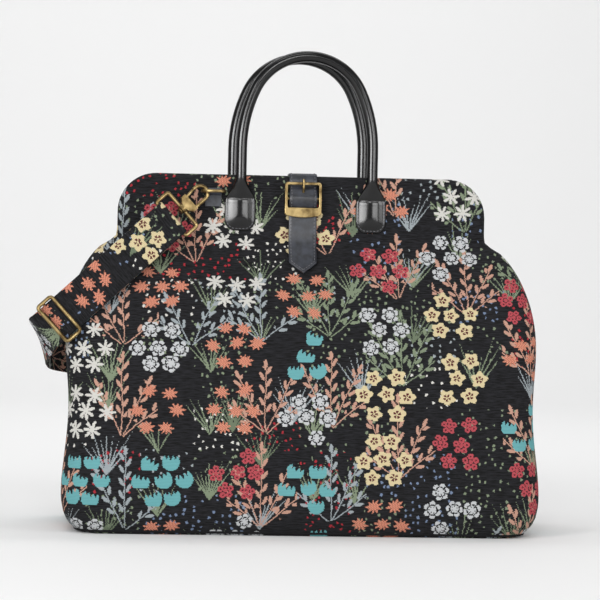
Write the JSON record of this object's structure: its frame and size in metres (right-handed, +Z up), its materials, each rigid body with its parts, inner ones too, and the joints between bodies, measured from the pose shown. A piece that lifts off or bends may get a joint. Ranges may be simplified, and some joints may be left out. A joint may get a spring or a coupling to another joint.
{
  "type": "carpet bag",
  "caption": "Tapestry carpet bag with a hinged metal mouth frame, rolled leather handles, a buckled closure strap and a clip-on adjustable shoulder strap.",
  "frame": {"origin": "middle of the base, on the surface that the bag stands on", "axes": "+X to the right as seen from the front, +Y to the back, +Z up"},
  "size_m": [0.5074, 0.2169, 0.4796],
  "materials": {
    "tapestry": "black chenille weave with small wild flowers",
    "lining_cloth": "plain weave",
    "black_leather": "smooth gloss",
    "antique_brass": "antique, worn on the edges",
    "frame_steel": "plain",
    "board": "matt"
  },
  "bodies": {
    "bag": {"front_panel": "tapestry", "rear_panel": "tapestry", "left_gusset": "tapestry", "right_gusset": "tapestry", "base_panel": "tapestry", "base_board": "board", "lining": "lining_cloth", "left_hinge_rivet": "frame_steel", "right_hinge_rivet": "frame_steel", "strap_front_loop": "tapestry", "strap_rear_loop": "tapestry", "shoulder_web": "tapestry"},
    "front_jaw": {"front_frame": "frame_steel", "front_jaw_cover": "tapestry", "front_handle": "black_leather", "buckle_chape": "black_leather", "buckle_frame": "antique_brass", "front_d_ring_tab": "black_leather", "front_strap_ring": "antique_brass"},
    "rear_jaw": {"rear_frame": "frame_steel", "rear_jaw_cover": "tapestry", "rear_handle": "black_leather", "closure_strap": "black_leather", "rear_d_ring_tab": "black_leather", "rear_strap_ring": "antique_brass"},
    "buckle_tongue": {"buckle_tongue": "antique_brass"},
    "front_d_ring": {"front_d_ring": "antique_brass"},
    "rear_d_ring": {"rear_d_ring": "antique_brass"},
    "front_clip": {"front_clip_hook": "antique_brass"},
    "rear_clip": {"rear_clip_hook": "antique_brass"},
    "front_gate": {"front_clip_gate": "antique_brass"},
    "rear_gate": {"rear_clip_gate": "antique_brass"},
    "slider": {"strap_slider": "antique_brass"}
  },
  "joints": [
    {"name": "front_jaw_open", "type": "hinge", "parent": "bag", "child": "front_jaw", "pos_m": [0, 0, 0.297], "axis": [1, 0, 0], "range_deg": [0, 65], "deforming": ["front_panel", "left_gusset", "right_gusset", "lining", "strap_front_loop", "closure_strap"]},
    {"name": "rear_jaw_open", "type": "hinge", "parent": "bag", "child": "rear_jaw", "pos_m": [0, 0, 0.297], "axis": [-1, 0, 0], "range_deg": [0, 65], "deforming": ["rear_panel", "strap_rear_loop", "shoulder_web"]},
    {"name": "buckle_tongue_swing", "type": "hinge", "parent": "front_jaw", "child": "buckle_tongue", "pos_m": [0, -0.01695, 0.3315], "axis": [1, 0, 0], "range_deg": [0, 35]},
    {"name": "front_d_ring_tilt", "type": "hinge", "parent": "front_jaw", "child": "front_d_ring", "pos_m": [-0.09, -0.01685, 0.337], "axis": [1, 0, 0], "range_deg": [0, 10]},
    {"name": "rear_d_ring_tilt", "type": "hinge", "parent": "rear_jaw", "child": "rear_d_ring", "pos_m": [0.092, 0.01685, 0.337], "axis": [-1, 0, 0], "range_deg": [0, 10]},
    {"name": "front_clip_swivel", "type": "hinge", "parent": "front_jaw", "child": "front_clip", "pos_m": [-0.11942, -0.0304, 0.31996], "axis": [-0.7168, -0.2159, -0.663], "range_deg": [-15, 15]},
    {"name": "rear_clip_swivel", "type": "hinge", "parent": "rear_jaw", "child": "rear_clip", "pos_m": [0.09227, 0.0289, 0.314], "axis": [-0.4174, 0.1576, -0.895], "range_deg": [-15, 15]},
    {"name": "front_gate_open", "type": "hinge", "parent": "front_clip", "child": "front_gate", "pos_m": [-0.11955, -0.02921, 0.32801], "axis": [-0.1585, 0.9764, -0.1466], "range_deg": [0, 20], "stiffness_Nm_per_rad": 0.02},
    {"name": "rear_gate_open", "type": "hinge", "parent": "rear_clip", "child": "rear_gate", "pos_m": [0.10001, 0.02803, 0.31639], "axis": [-0.0666, -0.9875, -0.1428], "range_deg": [0, 20], "stiffness_Nm_per_rad": 0.02},
    {"name": "slider_shift", "type": "slide", "parent": "bag", "child": "slider", "axis": [0.7168, 0.2159, 0.663], "range_m": [0, 0.035]}
  ]
}
